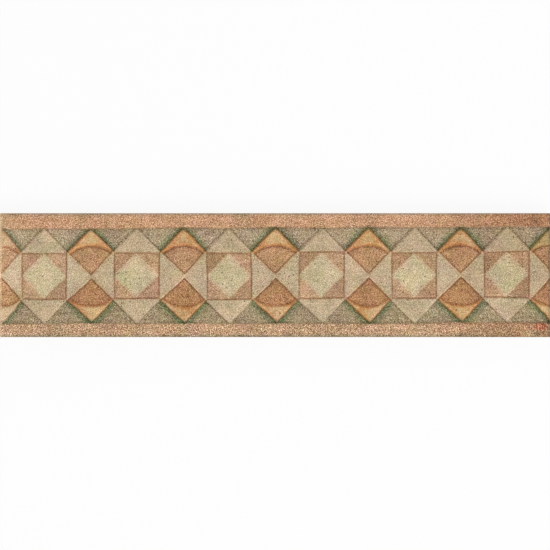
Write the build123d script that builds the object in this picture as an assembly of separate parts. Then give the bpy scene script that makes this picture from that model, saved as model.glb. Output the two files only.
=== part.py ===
from build123d import *
from math import radians, sqrt, tan
import os

# A relief border tile: one piece of clay, pressed in a mould, glazed on its face and fired.
# X runs along the tile, Y across it and Z up out of its face. The origin is the middle of its back.

# Driving dimensions, in millimetres and degrees
REPEAT = 33.6  # one square cell and one crossed cell, side by side
REPEATS = 6  # repeats along the tile, the last made up by the grout joint
JOINT = 1.6  # grout joint between two tiles of a run
WIDTH = 45.0
THICKNESS = 9.5  # back to the tops of the rails
ARRIS = 0.9  # rounded edge all round the face
CORNER = 0.7  # rounded upright corners
SKEW = 0.2  # the press sits a little askew on the blank
PRESS_X = 0.25  # and a little off its middle
PRESS_Y = -0.15

RAIL = 5.35  # raised band along each long edge
RAIL_DRAFT = 20.0  # lean of the rails' inner sides
GROUND_DEPTH = 1.0  # sunk ground and the bottoms of the pressed lines, below the rail tops
DIP_DEPTH = 0.6  # further dip of the ground towards the lozenges
DIP_REACH = 3.2  # breadth of that dip

LINE = 0.2  # bottom of the pressed lines between the motifs
DRAFT = 20.0  # lean of the motifs' sides
SPREAD = 0.4  # by which the motifs spread over the ground, beyond their cells
TRIANGLE_DEPTH = 0.5  # small triangles above and below each square, below the rail tops
SIDE_DEPTH = 0.45  # triangles left and right of each crossing, below the rail tops
LAP = 0.85  # by which those triangles lap over the lines of the crossing
SLIM = 0.3  # by which a square is narrower than its cell, on each side
SQUARE_DEPTH = 0.35  # flat diamond on each square, below the rail tops
FACET_FALL = 0.35  # fall of a square's four facets from the diamond to the corners
FAN_DEPTH = 0.6  # fans at the crossing, below the rail tops
FAN_FALL = 0.25  # fall of a fan towards its arc
FAN_GAP = 0.9  # from the lines of the crossing to a fan
ARC_GAP = 0.5  # from the arc to a fan
ARC_RISE = 2.5  # bulge of the arc that cuts each lozenge in two

KEYS = 4  # grooves along the back that key into the adhesive
KEY_WIDTH = 4.2
KEY_DEPTH = 0.8
KEY_DRAFT = 20.0

# Derived sizes
LENGTH = REPEATS * REPEAT - JOINT
CELL = REPEAT / 2
HALF = CELL / 2
GROUND = THICKNESS - GROUND_DEPTH
DIP = GROUND - DIP_DEPTH
SUNK = 0.1  # depth to which a foot sits in the ground
POINT = CELL + SPREAD * sqrt(2)  # from the middle line to the points of the motifs
OVERRUN = 2 * REPEAT  # length by which cutters and relief run past the tile
LEFT_MOST = -(REPEATS / 2 + 0.5) * REPEAT  # first square cell, outside the tile's left end


def pressed(outline, foot, top, draft=DRAFT):
    """A block that stands on an outline at its foot and leans in, by the draft, up to its top."""
    return extrude(Pos(Z=foot) * outline, amount=top - foot, dir=(0, 0, 1), taper=draft)


def motif(outline, depth, gap=LINE / 2):
    """A pressed block on the ground, its foot inside the outline by a gap, half a pressed line at least."""
    foot = offset(outline, amount=-gap, kind=Kind.INTERSECTION)
    return pressed(foot, GROUND - SUNK, THICKNESS - depth)


def below(block, origin, normal):
    """What is left of a block under a sloping plane."""
    return split(block, bisect_by=Plane(origin=origin, z_dir=normal), keep=Keep.BOTTOM)


def blank():
    """The plain tile: a flat block with rounded upright corners and a rounded edge to its face."""
    block = Pos(Z=THICKNESS / 2) * Box(LENGTH, WIDTH, THICKNESS)
    block = fillet(block.edges().filter_by(Axis.Z), CORNER)
    return fillet(block.faces().sort_by(Axis.Z)[-1].edges(), ARRIS)


def trough(bottom):
    """The trough between the rails down to a bottom, wider at its mouth."""
    width = WIDTH - 2 * RAIL - 2 * (GROUND - bottom) * tan(radians(RAIL_DRAFT))
    return pressed(Rectangle(LENGTH + OVERRUN, width), bottom, THICKNESS + ARRIS, -RAIL_DRAFT)


def chain():
    """The zigzag band that the motifs fill, which stands in the dips and leans in up to the ground."""
    foot = POINT + (DIP_DEPTH + SUNK) * tan(radians(DRAFT)) * sqrt(2)
    steps = range(4 * (REPEATS + 1) + 1)
    lower = [(LEFT_MOST + n * HALF, HALF - foot if n % 2 else -foot) for n in steps]
    upper = [(x, -y) for x, y in reversed(lower)]
    return pressed(make_face(Polyline(*lower, *upper, close=True)), DIP - SUNK, GROUND + SUNK)


def dips():
    """Where the ground slopes down towards the lozenges: shallow pyramids less the band of motifs."""
    slope = DIP_REACH / DIP_DEPTH
    levels = [(DIP, POINT * sqrt(2)), (GROUND + SUNK, POINT * sqrt(2) + 2 * slope * (DIP_DEPTH + SUNK))]
    pyramid = loft([Pos(Z=z) * Rot(Z=45) * Rectangle(side, side) for z, side in levels])
    row = [Pos(X=LEFT_MOST + CELL + n * REPEAT) * pyramid for n in range(REPEATS + 1)]
    return [piece - chain() for piece in row]


def square_cell():
    """A square with a flat diamond and four falling facets, between two small triangles."""
    square = motif(Rectangle(CELL - 2 * SLIM, CELL), SQUARE_DEPTH)
    edge = (HALF / 2, HALF / 2, THICKNESS - SQUARE_DEPTH)  # middle of one side of the diamond
    for _ in range(4):
        square = Rot(Z=90) * below(square, edge, (FACET_FALL, FACET_FALL, HALF))
    shoulder = POINT - HALF
    outline = Polyline((-HALF, HALF), (HALF, HALF), (HALF, shoulder), (0, POINT), (-HALF, shoulder), close=True)
    triangle = motif(make_face(outline), TRIANGLE_DEPTH)
    return [square, triangle, Rot(Z=180) * triangle]


def crossed_cell():
    """Two lozenges, each cut by an arc into a fan and a high cap, between two side triangles."""
    near, far = HALF - LAP, HALF + SLIM
    wedge = Polyline((-LAP, 0), (near, -HALF), (far, -HALF), (far, HALF), (near, HALF), close=True)
    side = motif(make_face(wedge), SIDE_DEPTH)
    wide = POINT / 2
    lozenge = make_face(Polyline((0, 0), (wide, wide), (0, POINT), (-wide, wide), close=True))
    radius = (HALF**2 + ARC_RISE**2) / (2 * ARC_RISE)
    disc = Pos(Y=HALF + ARC_RISE - radius) * Circle(radius)
    cap = motif(lozenge - disc, 0)
    raised = Pos(Y=(FAN_GAP - ARC_GAP) * sqrt(2)) * lozenge
    fan = motif(raised & disc, FAN_DEPTH, ARC_GAP)
    fan = below(fan, (0, 0, THICKNESS - FAN_DEPTH), (0, FAN_FALL, HALF + ARC_RISE))
    return [Rot(Z=turn) * piece for turn in (0, 180) for piece in (side, cap, fan)]


def relief():
    """Every motif of the pattern, in a row longer than the tile at both ends."""
    pieces = square_cell() + [Pos(X=CELL) * piece for piece in crossed_cell()]
    return [Pos(X=LEFT_MOST + n * REPEAT) * piece for n in range(REPEATS + 1) for piece in pieces]


def keys():
    """The grooves along the back, evenly spaced and wider at their mouths."""
    groove = pressed(Rectangle(LENGTH + OVERRUN, KEY_WIDTH), 0, KEY_DEPTH, KEY_DRAFT)
    pitch = WIDTH / (KEYS + 1)
    return [Pos(Y=(n - (KEYS - 1) / 2) * pitch) * groove for n in range(KEYS)]


plain = blank()
skewed = Rot(Z=SKEW)
press = Pos(PRESS_X, PRESS_Y) * skewed
tile = plain - skewed * trough(GROUND)
deep = skewed * trough(DIP)
for dip in dips():
    tile -= press * dip & deep
for piece in relief():
    tile += plain & press * piece
tile -= keys()

os.makedirs("parts", exist_ok=True)
export_step(tile, "parts/border_tile.step")
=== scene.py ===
# %% [markdown]
# # A relief border tile, pressed, glazed and fired
#
# A border tile is one piece of clay. A mould presses a pattern into its face, the painter fills the
# pattern with matt glazes, and the kiln makes the two into one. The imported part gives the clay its
# exact size, and this lesson gives it what the kiln gave it: softened edges, pooled glaze, grain.

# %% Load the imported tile
import functools
import math

import bpy
import numpy as np
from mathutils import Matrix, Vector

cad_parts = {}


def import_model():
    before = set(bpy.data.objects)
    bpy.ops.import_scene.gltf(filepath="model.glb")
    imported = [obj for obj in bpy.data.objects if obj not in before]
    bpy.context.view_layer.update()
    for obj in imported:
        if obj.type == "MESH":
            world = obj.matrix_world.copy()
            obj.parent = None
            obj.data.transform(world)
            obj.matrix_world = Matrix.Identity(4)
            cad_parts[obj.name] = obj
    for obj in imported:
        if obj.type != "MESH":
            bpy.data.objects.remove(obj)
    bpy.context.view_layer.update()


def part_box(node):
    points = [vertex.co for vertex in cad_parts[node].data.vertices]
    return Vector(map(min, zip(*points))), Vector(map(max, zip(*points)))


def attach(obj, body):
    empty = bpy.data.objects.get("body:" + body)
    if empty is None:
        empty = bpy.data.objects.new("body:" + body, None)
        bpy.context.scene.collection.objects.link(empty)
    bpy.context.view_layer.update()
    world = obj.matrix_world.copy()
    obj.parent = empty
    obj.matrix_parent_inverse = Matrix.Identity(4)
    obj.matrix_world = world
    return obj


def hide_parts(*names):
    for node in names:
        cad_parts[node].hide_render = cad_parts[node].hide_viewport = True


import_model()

# %% [markdown]
# ## The sizes of the press
#
# The tile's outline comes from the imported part. The pattern in it repeats: a square cell and a
# crossed cell, six times along the tile, the last repeat made up by the grout joint. All sizes are
# in millimetres, as a tile maker would give them, and all heights are counted from the rail tops,
# so that a depth in the clay is a plain negative number.

# %% Sizes in millimetres
MM = 0.001
JOINT = 1.6  # grout joint that completes the last repeat
REPEATS = 6
RAIL = 5.35  # raised band along each long edge

low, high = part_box("border_tile")
LENGTH, WIDTH, THICKNESS = (high - low) / MM
END = LENGTH / 2  # from the middle of the tile to either end
REPEAT = (LENGTH + JOINT) / REPEATS
CELL = REPEAT / 2
HALF = CELL / 2
FIELD = WIDTH / 2 - RAIL  # from the middle line to the foot of a rail
print(f"tile {LENGTH:.1f} x {WIDTH:.1f} x {THICKNESS:.1f} mm, repeat {REPEAT:.2f} mm")

# %% [markdown]
# ## A lattice for the face
#
# The face could be cut from solids, but a glaze rounds every edge, and that is easier on a surface
# that is one height for each place. So the face is a lattice of points. Its step divides a cell
# evenly, so that the creases of the relief run along rows and diagonals of points and stay clean.
# The last points at each edge stand at equal angles of a quarter circle and round the arris.

# %% Stations along and across the tile
ARRIS = 0.9  # rounded edge all round the face
ROUND_POINTS = 5  # points round it
STEP = HALF / 24


def stations(size):
    """Even steps out from the middle, then points round a quarter circle to the edge.

    On the rounded part a point stands at flat + arris * sin(angle), for equal steps of the angle.
    """
    flat = size / 2 - ARRIS
    count = int(flat / STEP)
    angles = np.linspace(0, np.pi / 2, ROUND_POINTS + 1)[1:]
    turn = flat + ARRIS * np.sin(angles)
    return np.concatenate([-turn[::-1], np.arange(-count, count + 1) * STEP, turn])


along, across = stations(LENGTH), stations(WIDTH)
U, V = np.meshgrid(along, across, indexing="ij")
print("face lattice", U.shape, "step", round(STEP, 3), "mm")

# %% [markdown]
# ## The relief
#
# A press leaves blocks with flat tops and leaning sides, so that the clay lets go of it. A block's
# height is therefore the lowest of its top and its sides, and the face is the highest of the blocks.
# That is two words of numpy, minimum and maximum, and it needs no cutting at all. The pattern mirrors
# about the middle of every cell, so each place is known by two distances: from the middle of the
# nearest square cell along the tile, and from the middle line across it.

# %% Depths and gaps of the blocks
LEAN = math.tan(math.radians(20))  # run of a leaning side for each mm of its height
GROUND_DEPTH = 1.0  # sunk ground, and the bottoms of the pressed lines
DIP_DEPTH = 0.6  # further dip of the ground towards the lozenges
DIP_REACH = 3.2  # breadth of that dip
LINE = 0.2  # bottom of the pressed lines
SPREAD = 0.4  # by which the motifs spread over the ground
SLIM = 0.3  # by which the squares are narrower than their cells
TRIANGLE_DEPTH = 0.5  # small triangles above and below a square
SIDE_DEPTH = 0.45  # triangles left and right of a crossing
LAP = 0.85  # by which those lap over the lines of the crossing
SQUARE_DEPTH = 0.35  # flat diamond on a square
FACET_FALL = 0.35  # of a square's facets, from the diamond to the corners
FAN_DEPTH = 0.6
FAN_FALL = 0.25  # of a fan, towards its arc
FAN_GAP = 0.9  # from the lines of the crossing to a fan
ARC_GAP = 0.5  # from the arc to a fan
ARC_RISE = 2.5  # bulge of the arc between a fan and its cap
ARC_RADIUS = 12.3
ARC_SAG = 0.3  # by which the lower arcs hang lower
ARC_MIDDLE = HALF + ARC_RISE - ARC_RADIUS
SLANT = math.sqrt(0.5)  # turns a sum of two distances into one across a slanting edge
print("ground", GROUND_DEPTH, "mm deep, or", GROUND_DEPTH + DIP_DEPTH, "mm beside the lozenges")

# %% Heights of the pressed parts


def block(inside, top):
    """A pressed block: its top, or its leaning side, which rises with the distance inside its outline."""
    return np.minimum(top, -GROUND_DEPTH + (inside - LINE / 2) / LEAN)


def relief(u, v):
    """Heights of the parts from the rail tops: rails, ground, chain and motifs, stacked.

    a is the distance from the middle of the nearest square cell, b from the nearest crossing and w
    from the middle line. Slanting edges are lines of a + w or b + w, divided by the root of two.
    """
    a = np.abs(np.mod(u, REPEAT) - CELL)
    b, w = CELL - a, np.abs(v)
    radial = np.hypot(b, w - ARC_MIDDLE) - ARC_RADIUS - ARC_SAG * (v < 0)
    off_triangle = (a + w - CELL) * SLANT - SPREAD
    off_lozenge = (b + w - CELL) * SLANT - SPREAD
    dip = DIP_DEPTH * np.clip(1 - off_lozenge / DIP_REACH, 0, 1)
    dip = np.minimum(dip, np.maximum(0, np.minimum(off_lozenge, off_triangle)) / LEAN)
    facet = FACET_FALL * np.maximum(0, (a + w - HALF) / HALF)
    fan_top = -FAN_DEPTH - FAN_FALL * w / (HALF + ARC_RISE)
    fan_inside = np.minimum(-radial - ARC_GAP, (w - b) * SLANT - FAN_GAP) + LINE / 2
    return np.stack([
        np.minimum(0, -GROUND_DEPTH + (w - FIELD) / LEAN),
        -GROUND_DEPTH - dip,
        block(fan_inside, fan_top),
        block(np.minimum.reduce([radial, -off_lozenge, HALF + SPREAD - b]), 0),
        block(np.minimum(HALF - SLIM - a, HALF - w), -SQUARE_DEPTH - facet),
        block(np.minimum.reduce([w - HALF, HALF - a, -off_triangle]), -TRIANGLE_DEPTH),
        block(np.minimum.reduce([a - HALF + SLIM, HALF - w, (b + LAP - w) * SLANT]), -SIDE_DEPTH),
    ])


print("fans reach", round(FAN_DEPTH + FAN_FALL, 2), "mm below the rails")

# %% The relief on the lattice
LEFT_SQUEEZE, RIGHT_SQUEEZE = 0.2, 0.1  # shares by which the half cells at the two ends are narrower


def squeezed(u):
    """Places in the even pattern, which run ahead past the last squares by a share of the way."""
    start = REPEATS * CELL - HALF
    return u + RIGHT_SQUEEZE * np.maximum(0, u - start) + LEFT_SQUEEZE * np.minimum(0, u + start)


pattern_u = squeezed(U)
parts = relief(pattern_u, V)
pressed = parts.max(axis=0)
print(f"relief from {pressed.min():.2f} to {pressed.max():.2f} mm")

# %% [markdown]
# ## Glaze and hand
#
# Molten glaze levels out: it draws back from edges and fills corners. A running average, weighted by
# a bell curve, does the same to the heights. The difference between a wide average and the surface
# itself then tells where glaze lies deep, in lines and at the feet of the blocks, and where it is
# thin, along the edges. Those two maps are kept on the points for the finish to use. The same average
# turns seeded random numbers into the slow waves of hand-pressed clay and the fine grit of the rails.

# %% Levelling and unevenness
SEED = 7
rng = np.random.default_rng(SEED)


def levelled(height, size):
    """A running average along both directions, out to three deviations of its bell.

    A point's weight is e to the power of minus half its squared distance, in deviations of size mm.
    """
    reach = max(1, int(3 * size / STEP))
    bell = np.exp(-0.5 * (np.arange(-reach, reach + 1) * STEP / size) ** 2)
    for axis in (0, 1):
        margin = [(reach, reach) if axis == way else (0, 0) for way in (0, 1)]
        padded = np.pad(height, margin, mode="reflect")
        windows = np.lib.stride_tricks.sliding_window_view(padded, bell.size, axis=axis)
        height = windows @ bell / bell.sum()
    return height


def uneven(shape, size):
    """Seeded random numbers, averaged over a size in mm and scaled to a deviation of one."""
    noise = levelled(rng.normal(size=shape), size)
    return noise / noise.std()


print("random numbers start from seed", SEED)

# %% Glazed heights and the two glaze maps
GLAZE_LEVEL = 0.2  # reach of the levelling
POOL_REACH = 0.6  # width over which deep and thin glaze are told apart
POOL_DEPTH = 0.2  # glaze this much deeper than its surroundings counts in full
WAVE, WAVE_LENGTH = 0.05, 9.0  # height and length of the slow waves
GRIT = np.array([0.03, 0.018, 0.026, 0.014, 0.014, 0.012, 0.012])  # its height on each part, in order
GRIT_LENGTH = 0.28  # coarser than real grit, which the lattice couldn't show

glazed = levelled(pressed, GLAZE_LEVEL)
deep = (levelled(pressed, POOL_REACH) - glazed) / POOL_DEPTH
pool, crest = np.clip(deep, 0, 1), np.clip(-deep, 0, 1)
sandy = GRIT[parts.argmax(axis=0)]
surface = glazed + WAVE * uneven(U.shape, WAVE_LENGTH) + sandy * uneven(U.shape, GRIT_LENGTH)
print(f"pool mean {pool.mean():.3f}, crest mean {crest.mean():.3f}")

# %% [markdown]
# ## One closed skin
#
# The face alone would be an open sheet, and a solid cut to it would lose its fine grit. So the tile is
# a profile carried along its length. At every station the profile runs across the face, down the right
# side, along the ribbed back and up the left side, and closes. Near the ends the profile sinks and
# narrows, which rounds the arris and the corners, and a flat face closes each end.

# %% Sides and back of the profile
SIDE_HEIGHTS = np.array([6.0, 3.2, 0.5])
FOOT_ARRIS = 0.3  # small arris along the bottom edges
KEYS, KEY_WIDTH, KEY_DEPTH = 4, 4.2, 0.8  # grooves along the back that key into the adhesive

pitch = WIDTH / (KEYS + 1)
middles = (np.arange(KEYS)[::-1] - (KEYS - 1) / 2) * pitch
mouth, floor = KEY_WIDTH / 2, KEY_WIDTH / 2 - KEY_DEPTH * LEAN
groove = np.array([mouth, floor, -floor, -mouth])
back_edge = WIDTH / 2 - FOOT_ARRIS
back_v = np.concatenate([[back_edge], (middles[:, None] + groove).ravel(), [-back_edge]])
back_z = np.concatenate([[0], np.tile([0, KEY_DEPTH, KEY_DEPTH, 0], KEYS), [0]])
side_v = np.full(SIDE_HEIGHTS.size, WIDTH / 2)
under_v = np.concatenate([side_v, back_v, -side_v])
under_z = np.concatenate([SIDE_HEIGHTS, back_z, SIDE_HEIGHTS[::-1]])
print("profile points:", across.size, "on the face,", under_v.size, "round the sides and back")

# %% [markdown]
# ## What the hand did to the press
#
# A hand-held press is never quite true. It sits askew and off the middle of the blank, its crossings
# stray to the right and lean, and the clay gives a little everywhere. These strays move the points
# along and across the tile, and they fade out near the edges, where the blank's own outline holds.

# %% The face, rounded at its edges and strayed by hand
EDGE_ZONE = 2.5  # strip along the edges that the strays and the corners' narrowing fade out over
SUNK_FALL = 0.3  # share of the arris's fall by which sunk places at the edge fall too
SKEW = math.tan(math.radians(0.2))  # the press sits a little askew on the blank
SHIFT = (0.15, -0.15)  # and a little off its middle
HAND, HAND_LENGTH = 0.15, 5.0  # by which the clay gave, and the length over which it did
CROSS_STRAY = 0.3  # by which the crossings sit to the right of the middle of their cells
CROSS_LEAN = 0.1  # by which they lean to the left, half a cell above the middle line


def edge_share(place, size, zone):
    """0 up to a zone along the edge, then rising to 1 at the edge itself."""
    return np.clip((np.abs(place) - size / 2 + zone) / zone, 0, 1)


def rounding(share, radius):
    """How far a quarter circle has fallen: radius * (1 - root(1 - share squared))."""
    return radius * (1 - np.sqrt(1 - np.minimum(share, 1) ** 2))


fall = rounding(np.hypot(edge_share(U, LENGTH, ARRIS), edge_share(V, WIDTH, ARRIS)), ARRIS)
face_z = THICKNESS + np.minimum(surface - SUNK_FALL * fall, -fall)
inner = (1 - edge_share(U, LENGTH, EDGE_ZONE)) * (1 - edge_share(V, WIDTH, EDGE_ZONE))
to_crossing = (CELL - np.abs(np.mod(U, REPEAT) - CELL)) / HALF
stray = (CROSS_STRAY - CROSS_LEAN * V / HALF) * np.maximum(0, 1 - to_crossing**2)
face_x = U + (SHIFT[0] + stray + HAND * uneven(U.shape, HAND_LENGTH)) * inner
face_y = V + (SHIFT[1] + SKEW * U + HAND * uneven(U.shape, HAND_LENGTH)) * inner
print(f"face strays by up to {np.hypot(face_x - U, face_y - V).max():.2f} mm")

# %% The skin's points
CORNER = 0.35  # rounding of the upright corners
SIDE_WAVE, SIDE_WAVE_LENGTH = 0.02, 6.0  # depth and length of the waves in the sides

rows = (along.size, 1)
x = np.concatenate([face_x, np.repeat(along[:, None], under_v.size, axis=1)], axis=1)
y = np.concatenate([face_y, np.tile(under_v, rows)], axis=1)
z = np.concatenate([face_z, np.tile(under_z, rows)], axis=1)
narrow = rounding(edge_share(along, LENGTH, CORNER), CORNER)[:, None] * edge_share(y, WIDTH, EDGE_ZONE)
on_side = (np.abs(y) >= WIDTH / 2) & (z > 0) & (z < THICKNESS - 2 * ARRIS)
y = y - np.sign(y) * (narrow + SIDE_WAVE * np.abs(uneven(y.shape, SIDE_WAVE_LENGTH)) * on_side)
points = np.stack([x, y, z], axis=-1).reshape(-1, 3) * MM
print(points.shape[0], "points")

# %% The skin as a mesh
CREASE = math.radians(50)  # edges that turn by more than this stay sharp

profile_size = across.size + under_v.size
index = np.arange(points.shape[0]).reshape(along.size, profile_size)
following = np.roll(index, -1, axis=1)
quads = np.stack([index[:-1], index[1:], following[1:], following[:-1]], axis=-1)
ends = [index[0].tolist(), index[-1, ::-1].tolist()]

mesh = bpy.data.meshes.new("border_tile_skin")
mesh.from_pydata(points, [], quads.reshape(-1, 4).tolist() + ends)
on_face = np.zeros(quads.shape[:2], bool)
on_face[:, : across.size - 1] = True
clay_faces = np.append(~on_face.ravel(), [True, True])
mesh.polygons.foreach_set("material_index", clay_faces.astype(np.int32))
mesh.polygons.foreach_set("use_smooth", np.ones(clay_faces.size, bool))
mesh.set_sharp_from_angle(angle=CREASE)
mesh.validate()
tile = bpy.data.objects.new("border_tile_skin", mesh)
bpy.context.scene.collection.objects.link(tile)
print(sum(len(p.vertices) - 2 for p in mesh.polygons), "triangles")

# %% Maps that the finish reads
BARE_START, BARE_RANGE = 0.12, 0.5  # shares of the arris's fall: where bare clay starts, and grows over

bare = np.clip((fall / ARRIS - BARE_START) / BARE_RANGE, 0, 1)


def keep_map(name, values, rest):
    """Keep one number for each point of the skin: values on the face, and one value for the rest."""
    filled = np.full((along.size, profile_size), rest, np.float32)
    filled[:, : across.size] = values
    mesh.attributes.new(name, "FLOAT", "POINT").data.foreach_set("value", filled.ravel())


keep_map("press_along", pattern_u, 0)
keep_map("press_across", V, 0)
keep_map("glaze_pool", pool, 0)
keep_map("glaze_crest", crest, 0)
keep_map("bare_clay", bare, 1)
print("maps:", [a.name for a in mesh.attributes if not a.name.startswith(".")])

# %% [markdown]
# ## Colours and nodes
#
# Colours are written as a designer would, as hex values on the screen. Blender shades in linear
# light, so one function turns them. One more adds a node. Its kind may end in a mode, as in
# "Math MULTIPLY", its links fill the sockets from the top, capital names fill sockets by name, and
# small names are the node's own settings.

# %% Helpers for the finishes
MODES = {
    "Math": "operation",
    "VectorMath": "operation",
    "Mix": "data_type",
    "MapRange": "interpolation_type",
    "VectorRotate": "rotation_type",
}


def colour(text):
    """A hex colour as linear light: each channel c becomes ((c + 0.055) / 1.055) to the power 2.4."""
    channels = np.array([int(text[i : i + 2], 16) / 255 for i in (1, 3, 5)])
    linear = np.where(channels <= 0.04045, channels / 12.92, ((channels + 0.055) / 1.055) ** 2.4)
    return (*linear.tolist(), 1.0)


def add(tree, kind, *links, out=None, **settings):
    """Add one node to a tree, set it, link it, and give back the socket asked for or the first in use."""
    kind, _, mode = kind.partition(" ")
    node = tree.nodes.new("ShaderNode" + kind)
    if mode:
        setattr(node, MODES[kind], mode)
    named = {name: value for name, value in settings.items() if name[0].isupper()}
    for name in settings.keys() - named.keys():
        setattr(node, name, settings[name])
    filled = list(zip([s for s in node.inputs if s.enabled], links))
    filled += [(node.inputs[name.replace("_", " ")], value) for name, value in named.items()]
    for socket, value in filled:
        if isinstance(value, bpy.types.NodeSocket):
            tree.links.new(value, socket)
        else:
            socket.default_value = value
    return node.outputs[out] if out else next((s for s in node.outputs if s.enabled), None)


def new_finish(name):
    """An empty node material, and the function that adds nodes to it."""
    material = bpy.data.materials.new(name)
    material.use_nodes = True
    material.node_tree.nodes.clear()
    return material, functools.partial(add, material.node_tree)


print("middle grey of the screen in linear light:", round(colour("#808080")[0], 3))

# %% [markdown]
# ## Masks and stains
#
# Both finishes are built up in the same way. A mask is a number from 0 to 1 that says where, and a
# stain lays a tone over the paint there. Soft steps and small round specks make most of the masks.
# These helpers add to the finish in hand: each finish sets node, which adds to it, and place, its
# coordinates in mm, before it calls them.

# %% Helpers for masks and stains
SOFT_EDGE = 0.14  # half the width over which two glazes meet


def past(value, edge, soft=SOFT_EDGE):
    """A mask: 0 before an edge and 1 past it, with a soft step between."""
    return node("MapRange SMOOTHSTEP", value, edge - soft, edge + soft)


def before(value, edge, soft=SOFT_EDGE):
    """A mask: 1 before an edge and 0 past it."""
    return node("MapRange SMOOTHSTEP", value, edge + soft, edge - soft)


def stain(paint, mask, strength, tone):
    """A tone over the paint, as strongly as asked, where a mask says."""
    return node("Mix RGBA", node("Math MULTIPLY", mask, strength), paint, colour(tone))


def specks(size, share, inner, outer):
    """Small round specks: one in each cell of a size in mm, for a share of the cells.

    A speck is full up to its inner radius and gone at its outer one, in shares of the size.
    """
    cells = node("TexVoronoi", place, Scale=1 / size).node.outputs
    chosen = before(node("SeparateColor", cells["Color"]), share)
    inside = node("MapRange SMOOTHSTEP", cells["Distance"], outer, inner)
    return node("Math MULTIPLY", inside, chosen)


print("two glazes meet over", 2 * SOFT_EDGE, "mm")

# %% [markdown]
# ## Bare fired clay
#
# The sides and back of a tile aren't glazed. They show the body: a pale peach earthenware, dry to the
# eye, with dark grog and light sand in it. The mould drew faint streaks down the sides, and along the
# top a little glaze ran over the arris. The clay scatters light and hardly shines, so it is rough.

# %% Fired earthenware body
GRAIN_MM = 0.5  # real clay is finer; drawn this coarse so that it shows
SMOKE_MM = 14.0
STREAK_MM = (1.2, 1.2, 16.0)
GROG_MM = 1.5
OVERRUN = 8.0  # height in mm down to which the glaze ran
OVERRUN_SWAY = 3.0  # by which its lower edge sways
CLAY_DENTS = 0.06 * MM

earthenware, node = new_finish("bare_earthenware")
place = node("VectorMath MULTIPLY", node("TexCoord", out="Object"), (1 / MM,) * 3)
clay_grain = node("TexNoise", place, Scale=1 / GRAIN_MM, Detail=3.0, Roughness=0.6)
smoke = node("TexNoise", place, Scale=1 / SMOKE_MM, Detail=3.0)
streaks = node("VectorMath MULTIPLY", place, tuple(1 / size for size in STREAK_MM))
streak = node("TexNoise", streaks, Scale=1.0, Detail=2.0)
run = node("Math MULTIPLY_ADD", node("Math ADD", smoke, streak), OVERRUN_SWAY, -OVERRUN_SWAY)
run = node("Math ADD", node("SeparateXYZ", place).node.outputs["Z"], run)

body = node("Mix RGBA", node("MapRange", clay_grain, 0.3, 0.7), colour("#ad8768"), colour("#d6b594"))
body = stain(body, past(smoke, 0.55, 0.12), 0.3, "#a4846b")
body = stain(body, past(streak, 0.58, 0.14), 0.08, "#8f6d4e")
body = stain(body, specks(GROG_MM, share=0.5, inner=0.1, outer=0.3), 0.6, "#76553d")
body = stain(body, specks(GROG_MM / 2, share=0.4, inner=0.1, outer=0.35), 0.5, "#ecd5b8")
body = stain(body, past(run, OVERRUN, 0.2), 0.45, "#97794f")
clay_bump = node("Bump", 0.6, CLAY_DENTS, Height=clay_grain)
node("OutputMaterial", node("BsdfPrincipled", Base_Color=body, Roughness=0.85, Normal=clay_bump))
print("finish:", earthenware.name)

# %% [markdown]
# ## Matt glazes on the pressed face
#
# The face is painted cell by cell with matt glazes: cream on the squares and triangles, salmon on
# the fans and rails, ochre on the caps, a thin grey-green wash on the ground. The paint follows the
# press, so the finish reads the press coordinates kept on the points, not the place in space. From
# them it finds the same distances as the relief did, and a soft step of each makes a mask.

# %% Distances of the pattern
WANDER_MM = 2.2  # length over which a painted edge wanders
WANDER = 0.5  # by which it does
RAGGED = 1.6  # the lozenges' edges wander this many times as much again

glaze, node = new_finish("matt_glazed_face")
place = node("VectorMath MULTIPLY", node("TexCoord", out="Object"), (1 / MM,) * 3)
wander = node("TexNoise", place, Scale=1 / WANDER_MM, Detail=2.0, out="Color")
wander = node("VectorMath MULTIPLY_ADD", wander, (WANDER,) * 3, (-WANDER / 2,) * 3)
wander = node("SeparateXYZ", wander).node.outputs
u = node("Math ADD", node("Attribute", attribute_name="press_along", out="Fac"), wander["X"])
v = node("Math ADD", node("Attribute", attribute_name="press_across", out="Fac"), wander["Y"])
a = node("Math PINGPONG", node("Math SUBTRACT", u, CELL), CELL)
b = node("Math SUBTRACT", CELL, a)
w = node("Math ABSOLUTE", v)
a_plus_w = node("Math ADD", a, w)
off_triangle = node("Math MULTIPLY_ADD", a_plus_w, SLANT, -SPREAD - CELL * SLANT)
off_lozenge = node("Math MULTIPLY_ADD", node("Math SUBTRACT", w, a), SLANT, -SPREAD)
off_lozenge = node("Math MULTIPLY_ADD", wander["Z"], RAGGED, off_lozenge)
spoke = node("CombineXYZ", b, node("Math SUBTRACT", w, ARC_MIDDLE))
spoke = node("VectorMath LENGTH", spoke, out="Value")
print("painted edges wander by up to", WANDER / 2, "mm")

# %% Halves and quarters of the cells
upper, lower = past(v, 0), before(v, 0)
swing = node("Math SINE", node("Math MULTIPLY", u, 2 * math.pi / REPEAT))
right = before(swing, 0)  # right of a square's middle, and left of a crossing
rising = before(node("Math MULTIPLY", swing, v), 0, 0.5)  # corners on a square's rising diagonal
upper_left = node("Math MULTIPLY", upper, node("Math SUBTRACT", 1.0, rising))
lower_right = node("Math MULTIPLY", right, lower)
off_arc = node("Math MULTIPLY_ADD", lower, -ARC_SAG, node("Math SUBTRACT", spoke, ARC_RADIUS))
print("nodes so far:", len(glaze.node_tree.nodes))

# %% Masks of the painted zones
CREAM_LAP = 0.52  # by which the side triangles' cream laps over the crossing lines
CREAM_GAP = 0.1  # by which the triangles' cream stops short of the corners of the cells
DIAMOND_CUT = 0.4  # by which a diamond is cut short at its lower right
RAIL_EDGE = FIELD + 0.2  # where the rails' salmon starts, from the middle line

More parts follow.
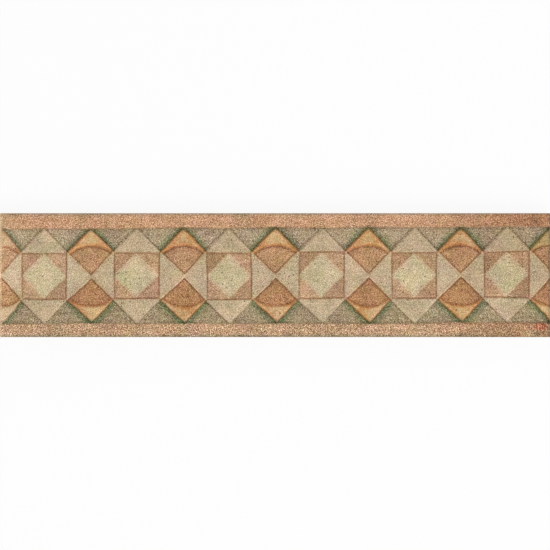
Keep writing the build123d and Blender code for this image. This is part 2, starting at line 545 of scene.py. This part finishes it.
cut_diamond = node("Math MULTIPLY_ADD", lower_right, DIAMOND_CUT, a_plus_w)
in_strip = node("Math MULTIPLY", past(w, HALF), before(a, HALF - CREAM_GAP))
in_crossed_cell = node("Math MULTIPLY", past(a, HALF - SLIM), before(w, HALF - CREAM_GAP))
is_triangle = node("Math MULTIPLY", before(off_triangle, 0), in_strip)
is_square = node("Math MULTIPLY", before(a, HALF - SLIM), before(w, HALF))
is_diamond = before(cut_diamond, HALF)
is_lozenge = node("Math MULTIPLY", before(off_lozenge, 0), past(a_plus_w, CELL))
is_fan = node("Math MULTIPLY", is_lozenge, before(off_arc, 0))
is_cap = node("Math SUBTRACT", is_lozenge, is_fan)
is_side = node("Math MULTIPLY", before(a_plus_w, CELL + CREAM_LAP), in_crossed_cell)
is_rail = past(w, RAIL_EDGE, 0.3)
print("rails painted from", round(RAIL_EDGE, 2), "mm off the middle line")

# %% [markdown]
# ## Noises of the glazes
#
# A matt glaze is never one colour. It is a mass of fine crystals, coarser on the sandy rails, with
# slow clouds where the coat is thicker, and brush strokes along the tile in the thin wash. The grit's
# own lattice is turned out of the plane of the face, or it would show as bands of height.

# %% Grit, clouds and brush strokes
GRIT_MM = 0.24  # real crystals are finer; drawn this coarse so that they show
FLECK_MM = 2.6
CLOUD_MM = 6.0
STROKE_MM = (9.0, 0.75, 9.0)
GRIT_TURN = (0.7, 0.4, 0.2)
FRAY = 5.0  # mm over which the clouds fray the edge of a stain

turned = node("VectorRotate EULER_XYZ", place, (0.0, 0.0, 0.0), GRIT_TURN)
grit = node("TexNoise", turned, Scale=1 / GRIT_MM, Detail=0.0)
fleck = node("TexNoise", place, Scale=1 / FLECK_MM, Detail=2.0, Roughness=0.6)
cloud, hue = node("TexNoise", place, Scale=1 / CLOUD_MM, Detail=3.0, Roughness=0.6).node.outputs
strokes = node("VectorMath MULTIPLY", place, tuple(1 / size for size in STROKE_MM))
stroke = node("TexNoise", strokes, Scale=1.0, Detail=2.0)
clouds = past(cloud, 0.5, 0.18)
brushed = past(node("Math ADD", stroke, fleck), 1.0, 0.25)
patchy = node("MapRange", node("Math ADD", fleck, cloud), 0.75, 1.2, 0.2, 1.0)
frayed = node("Math MULTIPLY_ADD", cloud, FRAY, -FRAY / 2)
print("grit", GRIT_MM, "mm, clouds", CLOUD_MM, "mm")

# %% [markdown]
# ## The painted zones
#
# Each glaze is laid over the one before, as with stencils: the wash first, then the creams and
# salmons, the caps, the fans, and the rails last. The squares' corners come in two tones, one for
# each diagonal. The caps are orange where the glaze ran thick along their edges and cream between.

# %% Glazes of the square cells
CORE = HALF - 1.5  # from a diamond's middle to the edge of its greener core


def lay(coats, mask, tone, grain):
    """A glaze over the coats before it: its colour, and how strongly the grit shows in it.

    The grain is the range of the grit in steps of a screen's brightness, of which there are 255.
    """
    return node("Mix RGBA", mask, coats[0], tone), node("Mix", mask, coats[1], grain)


wash = node("Mix RGBA", brushed, colour("#ab9172"), colour("#b89e7c"))
wash = stain(wash, clouds, 0.5, "#8a7d50")
wash = stain(wash, lower, 0.22, "#6e6230")
triangle = node("Mix RGBA", lower, colour("#c2aa87"), colour("#c5ae8b"))
triangle = stain(triangle, brushed, 0.5, "#b9a17b")
corner = node("Mix RGBA", rising, colour("#ac855e"), colour("#b9926b"))
corner = stain(corner, node("Math MULTIPLY", rising, lower), 0.3, "#d0a880")
cored = before(node("Math ADD", a_plus_w, frayed), CORE, 1.2)
diamond = node("Mix RGBA", cored, colour("#c8ac87"), colour("#c9b78e"))

coats = (wash, 300.0)
coats = lay(coats, is_triangle, triangle, 200.0)
coats = lay(coats, is_square, corner, 230.0)
coats = lay(coats, is_diamond, diamond, 205.0)
print("painted: wash, triangles, squares, diamonds")

# %% Glazes of the crossed cells and the rails
THICK_BAND = 0.9  # breadth of the thick glaze along the edges of a cap
LOWER_NARROW = 1.15  # times by which it is narrower on the lower caps
OLIVE_TIP = CELL - 0.8  # from the middle line to where a cap's tip turns olive

thick = node("Math MINIMUM", off_arc, node("Math MULTIPLY", off_lozenge, -0.8))
thick = node("Math MULTIPLY", thick, node("Mix", lower, 1.0, LOWER_NARROW))
thick = before(node("Math ADD", thick, frayed), THICK_BAND, 1.1)
cap = node("Mix RGBA", thick, colour("#c6a26e"), colour("#cf8641"))
cap = stain(cap, past(w, OLIVE_TIP, 1.4), 0.4, "#a3935a")
fan = node("Mix RGBA", upper, colour("#af7c4b"), colour("#b6895c"))
side = stain(colour("#c5ac8a"), clouds, 0.5, "#baa37e")
rail = node("Mix RGBA", upper, colour("#b78e65"), colour("#c29168"))
rail_grain = node("Mix", upper, 430.0, 310.0)

coats = lay(coats, is_lozenge, cap, 190.0)
coats = lay(coats, is_fan, fan, 255.0)
coats = lay(coats, is_side, side, 200.0)
coats = lay(coats, is_rail, rail, rail_grain)
paint, grain = coats
print("painted: caps, fans, side triangles, rails")

# %% [markdown]
# ## Pools, thin edges and bare arrises
#
# Where the glaze pooled it fired dark: brown in the pressed lines, and deep green at the feet of the
# lozenges, where copper ran out of the caps. Along the edges it drew back and the pale clay shows
# through. The pressed lines are found again from the pattern's distances, and the maps kept on the
# points give the rest.

# %% Copper that ran out of the caps
RUN_OUT = 1.6  # from a lozenge to the middle of the fading green
COPPER = 0.8  # and of the deeper green beside it
TIP_PLACE = FIELD - 0.3  # from the middle line to the dark pool at a lozenge's tip

in_chain = node("Math MAXIMUM", before(off_lozenge, 0), before(off_triangle, 0))
on_ground = node("Math MULTIPLY", node("Math SUBTRACT", 1.0, in_chain), before(w, RAIL_EDGE))
ran_out = before(node("Math MULTIPLY_ADD", frayed, -0.6, off_lozenge), RUN_OUT, 2.0)
ran_out = node("Math MULTIPLY", ran_out, on_ground)
copper = node("Math MULTIPLY", before(off_lozenge, COPPER, COPPER), on_ground)
copper = node("Math MULTIPLY", copper, node("MapRange", cloud, 0.4, 0.6, 0.3, 1.0))
copper = node("Math MULTIPLY", copper, node("Mix", lower, 0.57, 0.73))
tip = node("CombineXYZ", b, node("Math SUBTRACT", w, TIP_PLACE))
tip = before(node("VectorMath LENGTH", tip, out="Value"), 0.9, 0.7)

paint = stain(paint, ran_out, 0.7, "#57703c")
paint = stain(paint, copper, 1.0, "#3a683c")
paint = stain(paint, tip, 0.6, "#4f5428")
print("green runs out to", RUN_OUT, "mm from the lozenges")

# %% Dark edges of the lozenges
LOWER_NEAR = 0.2  # by which the lower half's lines sit nearer the middle line


def line(value, middle, breadth):
    """A soft line where a value is at a place: 1 in its middle, 0 at its half breadth."""
    away = node("Math ABSOLUTE", node("Math SUBTRACT", value, middle))
    return before(away, breadth / 2, breadth / 2)


flank = node("Math MULTIPLY", past(w, HALF + 0.3, 0.3), before(w, RAIL_EDGE))
olive_edge = node("Math MULTIPLY", line(off_lozenge, -0.1, 0.7), flank)
dark_edge = line(node("Math MULTIPLY_ADD", lower, LOWER_NEAR, off_lozenge), 0.1, 0.45)
dark_edge = node("Math MULTIPLY", dark_edge, flank)
dark_edge = node("Math MULTIPLY", dark_edge, node("Mix", node("Math MULTIPLY", upper, right), 1.0, 0.35))

paint = stain(paint, olive_edge, 0.45, "#7a6c2c")
paint = stain(paint, node("Math MULTIPLY", dark_edge, patchy), 0.75, "#363613")
print("nodes so far:", len(glaze.node_tree.nodes))

# %% Brown lines round the squares
UPRIGHT_LINE = HALF - 0.25  # from a square's middle to the lines beside it

upright = node("Math MULTIPLY", line(a, UPRIGHT_LINE, 0.42), before(w, HALF))
upright = node("Math MULTIPLY", upright, node("Mix", right, 0.15, 0.75))
level = line(node("Math MULTIPLY_ADD", lower, LOWER_NEAR, w), HALF, 0.4)
level = node("Math MULTIPLY", level, before(a, HALF - SLIM))
level = node("Math MULTIPLY", level, node("Mix", lower, 0.16, 0.85))
square_lines = node("Math MULTIPLY", node("Math MAXIMUM", upright, level), patchy)
square_halo = node("Math MAXIMUM", line(a, UPRIGHT_LINE, 0.9), line(w, HALF, 0.9))
square_halo = node("Math MULTIPLY", square_halo, before(a, HALF))
square_halo = node("Math MULTIPLY", square_halo, before(w, HALF + 0.5))

paint = stain(paint, square_halo, 0.2, "#b06a30")
paint = stain(paint, square_lines, 0.85, "#6a3812")
print("lines beside the squares at", round(UPRIGHT_LINE, 2), "mm")

# %% Brown lines of the crossings and arcs
CROSS_LINE = CELL + 0.85  # where a and w together put the lines of the crossing
ARC_LINE = -0.38  # from the arc to the middle of its line, on the fan's side

crossing = node("Math MULTIPLY", line(a_plus_w, CROSS_LINE, 0.65), patchy)
crossing = node("Math MULTIPLY", crossing, is_lozenge)
crossing = node("Math MULTIPLY", crossing, node("Mix", upper, 1.0, 0.52))
arc = node("Math MULTIPLY", line(off_arc, ARC_LINE, 0.5), node("Mix", lower, 0.6, 0.3))
arc = node("Math MULTIPLY", arc, is_lozenge)
fan_halo = node("Math MAXIMUM", line(a_plus_w, CELL + 1.0, 1.5), line(off_arc, -0.5, 1.2))
fan_halo = node("Math MULTIPLY", fan_halo, is_fan)

paint = stain(paint, fan_halo, 0.25, "#9a5a24")
paint = stain(paint, crossing, 0.9, "#64310e")
paint = stain(paint, arc, 1.0, "#7c4812")
print("lines along the arcs at", -ARC_LINE, "mm inside them")

# %% Painted shade at the feet of the triangles, and a painted shadow below the upper rail
# Painted shade: a dark line at the feet of the triangles, set further out on their upper left flanks and
# weaker on their lower right ones.
triangle_foot_shade = line(node("Math MULTIPLY_ADD", upper_left, -0.4, off_triangle), 0.2, 0.4)
triangle_foot_shade = node("Math MULTIPLY", triangle_foot_shade, flank)
triangle_foot_shade = node("Math MULTIPLY", triangle_foot_shade, node("Mix", lower_right, 1.0, 0.4))
# Painted shadow: a dark line on the ground along the foot of the upper rail only.
rail_foot_shadow = node("Math MULTIPLY", line(w, FIELD + 0.1, 0.5), upper)

paint = stain(paint, triangle_foot_shade, 0.6, "#62522a")
paint = stain(paint, rail_foot_shadow, 0.2, "#6c5f3e")
print("nodes so far:", len(glaze.node_tree.nodes))

# %% Deep and thin glaze
pooled = node("Attribute", attribute_name="glaze_pool", out="Fac")
pooled = node("Math MULTIPLY", pooled, before(node("Math MULTIPLY", w, lower), FIELD - 1.0, 0.3))
thin = node("Attribute", attribute_name="glaze_crest", out="Fac")
thin = node("Math MULTIPLY", thin, before(w, FIELD))
warm = node("Math MULTIPLY", line(a_plus_w, CELL + 0.2, 2.0), is_side)
rim = node("Math MULTIPLY", line(a_plus_w, CELL + 0.22, 0.6), is_side)

paint = stain(paint, pooled, 0.3, "#74460f")
paint = stain(paint, thin, 0.14, "#e2c9a4")
paint = stain(paint, warm, 0.38, "#b48f52")
paint = stain(paint, node("Math MULTIPLY", rim, patchy), 0.32, "#f6e3c6")
print("nodes so far:", len(glaze.node_tree.nodes))

# %% Long edges and bare clay at the arris
WORN_GRAIN = 120.0
EDGE_STRIP = WIDTH / 2 - 0.95  # from the middle line to the thinner glaze along the long edges

worn = node("Attribute", attribute_name="bare_clay", out="Fac")
outer_edge = past(w, EDGE_STRIP, 0.75)

paint = stain(paint, node("Math MULTIPLY", outer_edge, upper), 0.35, "#8a8973")
paint = stain(paint, node("Math MULTIPLY", outer_edge, lower), 0.9, "#847451")
paint = stain(paint, worn, 0.5, "#8f7d5f")
paint = stain(paint, past(worn, 0.85, 0.15), 0.7, "#b08c69")
grain = node("Mix", worn, grain, WORN_GRAIN)
print("edges thin out from", round(EDGE_STRIP, 2), "mm off the middle line")

# %% [markdown]
# ## The two ends
#
# No two ends of a fired tile are alike. At the left end the arris is pale, the lower cap is cream and the
# upper one dull. The right end stood nearer the fire: its rails are redder, with a red and an olive spot,
# and its upper cap is olive. Its arris is dark. Such marks have their own places, so they are laid by the
# distance along the tile and not by the pattern.

# %% Fire on the right rails, and the caps at the ends
FIRE_REACH, FIRE_FADE = 28.0, 22.0  # from the right end to the middle of the fire's fade, and its half
CAP_REACH, CAP_FADE = 7.0, 2.0  # the same for the caps, from both ends

along_tile = node("SeparateXYZ", place).node.outputs["X"]
along_tile = node("Math ADD", along_tile, wander["Z"])
left_end = before(along_tile, CAP_REACH - END, CAP_FADE)
right_end = past(along_tile, END - CAP_REACH, CAP_FADE)
upper_cap = node("Math MULTIPLY", is_cap, upper)
lower_cap = node("Math MULTIPLY", is_cap, lower)
fire = node("Math MULTIPLY", past(along_tile, END - FIRE_REACH, FIRE_FADE), is_rail)
fire = node("Math MULTIPLY", fire, node("Mix", upper, 0.55, 0.62))

paint = stain(paint, fire, 1.0, "#8a4f0c")
paint = stain(paint, node("Math MULTIPLY", right_end, upper_cap), 0.5, "#b6ab74")
paint = stain(paint, node("Math MULTIPLY", left_end, upper_cap), 0.4, "#a88d68")
paint = stain(paint, node("Math MULTIPLY", left_end, lower_cap), 0.5, "#d3bd9a")
print("fire from", round(END - FIRE_REACH - FIRE_FADE, 1), "mm right of the middle")

# %% Spots and arrises at the ends
RED_SPOT = (96.4, -18.8, 2.6, 1.4)  # middle, half length and half breadth, as for the next ones
OLIVE_SPOT = (92.5, -21.0, 4.0, 1.5)
BROWN_RUN = (-98.6, 19.5, 1.4, 4.0)
BARE_PATCH = (-100.0, 19.5, 1.1, 4.5)
DARK_DROP = (99.5, -17.3, 0.9, 0.45)
DARK_ARRIS, PALE_ARRIS = 0.7, 0.65  # breadths of the right and left arrises


def spot(x, y, length, breadth):
    """A soft oval mark, its middle and its half sizes in mm, with an edge that the clouds fray."""
    offset = node("VectorMath SUBTRACT", place, (x, y, THICKNESS))
    offset = node("VectorMath MULTIPLY", offset, (1 / length, 1 / breadth, 0.0))
    offset = node("VectorMath LENGTH", offset, out="Value")
    return before(node("Math ADD", offset, cloud), 1.35, 0.25)


paint = stain(paint, spot(*RED_SPOT), 0.75, "#b45a2a")
paint = stain(paint, spot(*OLIVE_SPOT), 0.5, "#94854c")
paint = stain(paint, spot(*BROWN_RUN), 0.35, "#96794f")
paint = stain(paint, spot(*BARE_PATCH), 0.6, "#f2d5a6")
paint = stain(paint, spot(*DARK_DROP), 0.8, "#2e1c08")
# The right end's arris is darkened and the left end's arris paled.
paint = stain(paint, past(along_tile, END - DARK_ARRIS, 0.3), 0.5, "#4c3414")
paint = stain(paint, before(along_tile, PALE_ARRIS - END, 0.2), 0.65, "#e0bb91")
print("nodes so far:", len(glaze.node_tree.nodes))

# %% [markdown]
# ## Grain
#
# The grit lightens and darkens the paint. The eye judges light by about its square root, so the grit
# is added on that scale: all three colours rise and fall by the same step, and the hue stays calm.
# Clouds and brush strokes add their slow shades in the same way, and so do the two ends: the left is
# paler, and the right end's upper cells are dimmer. A slow drift of each colour by itself turns the
# hue a little, from rose to ochre.

# %% Slow shades at the ends
LEVEL = 1 / 255  # one step of a screen's brightness
LEFT_END_SHADE, PALE_SHADE, DIM_SHADE = 12 * LEVEL, 7 * LEVEL, -11 * LEVEL
LEFT_END_REACH, LEFT_END_FADE = 5.0, 4.0  # from the left end to the middle of its fade, and half the fade
CELLS_REACH, CELLS_FADE = 34.0, 10.0  # the same for the last cells, at both ends

# The tile is paler within a few millimetres of its left end.
ends_shade = node("Math MULTIPLY", before(along_tile, LEFT_END_REACH - END, LEFT_END_FADE), LEFT_END_SHADE)
above = node("Math MULTIPLY", past(v, -4.0, 6.0), before(w, FIELD))
left_cells = before(along_tile, CELLS_REACH - END, CELLS_FADE)
right_cells = past(along_tile, END - CELLS_REACH, CELLS_FADE)
end_cells = node("Math MULTIPLY", left_cells, PALE_SHADE)
end_cells = node("Math MULTIPLY_ADD", right_cells, DIM_SHADE, end_cells)
ends_shade = node("Math MULTIPLY_ADD", end_cells, above, ends_shade)
print("end cells shaded within", CELLS_REACH, "mm of the ends")

# %% Grit over the paint
EYE = 2.2  # the root by which the eye and the screen judge light
CLOUD_SHADE = 60 * LEVEL
STROKE_SHADE = 36 * LEVEL
DRIFT_SHADE = 24 * LEVEL
DARKEST = 0.1


def sway(noise, strength):
    """A noise, whose mean is a half, as a shade that sways about zero."""
    return node("Math MULTIPLY", node("Math SUBTRACT", noise, 0.5), strength)


shade = sway(grit, node("Math MULTIPLY", grain, LEVEL))
shade = node("Math ADD", shade, sway(cloud, CLOUD_SHADE))
shade = node("Math ADD", shade, sway(stroke, STROKE_SHADE))
shade = node("Math ADD", shade, ends_shade)
drift = node("VectorMath MULTIPLY_ADD", hue, (DRIFT_SHADE,) * 3, (-DRIFT_SHADE / 2,) * 3)
judged = node("VectorMath ADD", node("Gamma", paint, 1 / EYE), shade)
judged = node("VectorMath ADD", judged, drift)
judged = node("VectorMath MAXIMUM", judged, (DARKEST,) * 3)
paint = node("Gamma", judged, EYE)
print("nodes so far:", len(glaze.node_tree.nodes))

# %% [markdown]
# ## Pinholes, sand and the glazed surface
#
# Gas leaves pinholes in a glaze as it melts, and the rails are dusted with sand, pale grains between
# darker pits. They come after the grit, or it would blur them. They could be dents in the mesh, but
# they are finer than its lattice, so they are painted. The surface itself is fairly rough: crystals
# scatter the light, and only a soft sheen is left. A bump from the same grit breaks that sheen up.

# %% Pinholes and sand grains
PINHOLE_MM = 1.6
SAND_MM = 0.8
PIT_MM = 0.9

pinhole = specks(PINHOLE_MM, share=0.32, inner=0.11, outer=0.23)
pit = specks(PIT_MM, share=0.6, inner=0.15, outer=0.4)
sand = specks(SAND_MM, share=0.6, inner=0.15, outer=0.4)
paint = stain(paint, node("Math MULTIPLY", pinhole, before(w, FIELD)), 0.85, "#4a3a1c")
paint = stain(paint, node("Math MULTIPLY", pit, is_rail), 0.5, "#86593a")
paint = stain(paint, node("Math MULTIPLY", sand, is_rail), 0.4, "#f2cda6")
print("pinholes in cells of", PINHOLE_MM, "mm, sand in cells of", SAND_MM, "mm")

# %% The glazed surface
GRIT_DENTS = 0.04 * MM

glaze_bump = node("Bump", 0.5, GRIT_DENTS, Height=grit)
node("OutputMaterial", node("BsdfPrincipled", Base_Color=paint, Roughness=0.62, Normal=glaze_bump))
mesh.materials.append(glaze)
mesh.materials.append(earthenware)
print("finish:", glaze.name, "with", len(glaze.node_tree.nodes), "nodes")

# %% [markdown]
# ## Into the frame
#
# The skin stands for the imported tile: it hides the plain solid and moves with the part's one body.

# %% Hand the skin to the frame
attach(tile, "root")
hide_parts("border_tile")
print(tile.name, "stands for border_tile")

# %% [markdown]
# ## Floor, light and camera
#
# The tile lies on a white sheet under soft light: a pale sky all round, and one broad lamp from the
# lower right that shows the relief. The sheet is white to the camera and still takes the shadow. The
# camera looks straight down through a very long lens, so that the tile's two ends stay upright and
# the frame is as wide as the tile is long.

# %% White sheet
SHEET = 6.0  # metres
SHEET_GAP = 0.0002
SHEET_WHITE = 0.9  # share of plain white; the rest is lit and takes the shadow

sheet_points = np.array([[-1, -1, 0], [1, -1, 0], [1, 1, 0], [-1, 1, 0]]) * SHEET / 2
sheet_points[:, 2] = -SHEET_GAP
sheet_mesh = bpy.data.meshes.new("white_sheet")
sheet_mesh.from_pydata(sheet_points, [], [(0, 1, 2, 3)])
sheet = bpy.data.objects.new("white_sheet", sheet_mesh)
bpy.context.scene.collection.objects.link(sheet)

paper, node = new_finish("white_paper")
lit = node("BsdfDiffuse", colour("#f6f6f6"))
white = node("Emission", colour("#ffffff"), 1.0)
rays = node("LightPath").node
direct = node("Math MAXIMUM", rays.outputs["Is Camera Ray"], rays.outputs["Is Glossy Ray"])
direct = node("Math MAXIMUM", direct, rays.outputs["Is Transmission Ray"])
direct = node("Math MULTIPLY", direct, SHEET_WHITE)
node("OutputMaterial", node("MixShader", direct, lit, white))
sheet_mesh.materials.append(paper)
print("sheet", SHEET, "m")

# %% Soft light
SKY = 0.68
LAMP_WATTS = 6.0
LAMP_SIZE = 0.7
LAMP_PLACE = (0.6, -0.5, 1.05)

world = bpy.data.worlds.new("pale_room")
world.use_nodes = True
sky = world.node_tree.nodes["Background"].inputs
sky["Color"].default_value = colour("#ffffff")
sky["Strength"].default_value = SKY
bpy.context.scene.world = world

lamp_data = bpy.data.lights.new("broad_lamp", "AREA")
lamp_data.energy = LAMP_WATTS
lamp_data.size = LAMP_SIZE
lamp = bpy.data.objects.new("broad_lamp", lamp_data)
lamp.location = LAMP_PLACE
lamp.rotation_mode = "QUATERNION"
lamp.rotation_quaternion = lamp.location.to_track_quat("Z", "Y")
bpy.context.scene.collection.objects.link(lamp)
print("sky", SKY, "lamp", LAMP_WATTS, "W")

# %% Camera straight above
LENS = 900.0
FRAME_LEVEL = 9.0  # height in mm at which the frame is as wide as the tile is long
FRAME_TRIM = 0.3  # less this much, which the frame cuts off the two ends
FRAME_UP = 0.06  # by which the frame sits above the tile's middle line, in mm

camera_data = bpy.data.cameras.new("long_lens")
camera_data.lens = LENS
camera = bpy.data.objects.new("long_lens", camera_data)
distance = (LENGTH - FRAME_TRIM) * LENS / camera_data.sensor_width
camera.location = (0, FRAME_UP * MM, (FRAME_LEVEL + distance) * MM)
bpy.context.scene.collection.objects.link(camera)
bpy.context.scene.camera = camera
bpy.context.scene.view_settings.view_transform = "Standard"
print("camera", round(distance * MM, 3), "m above the face")
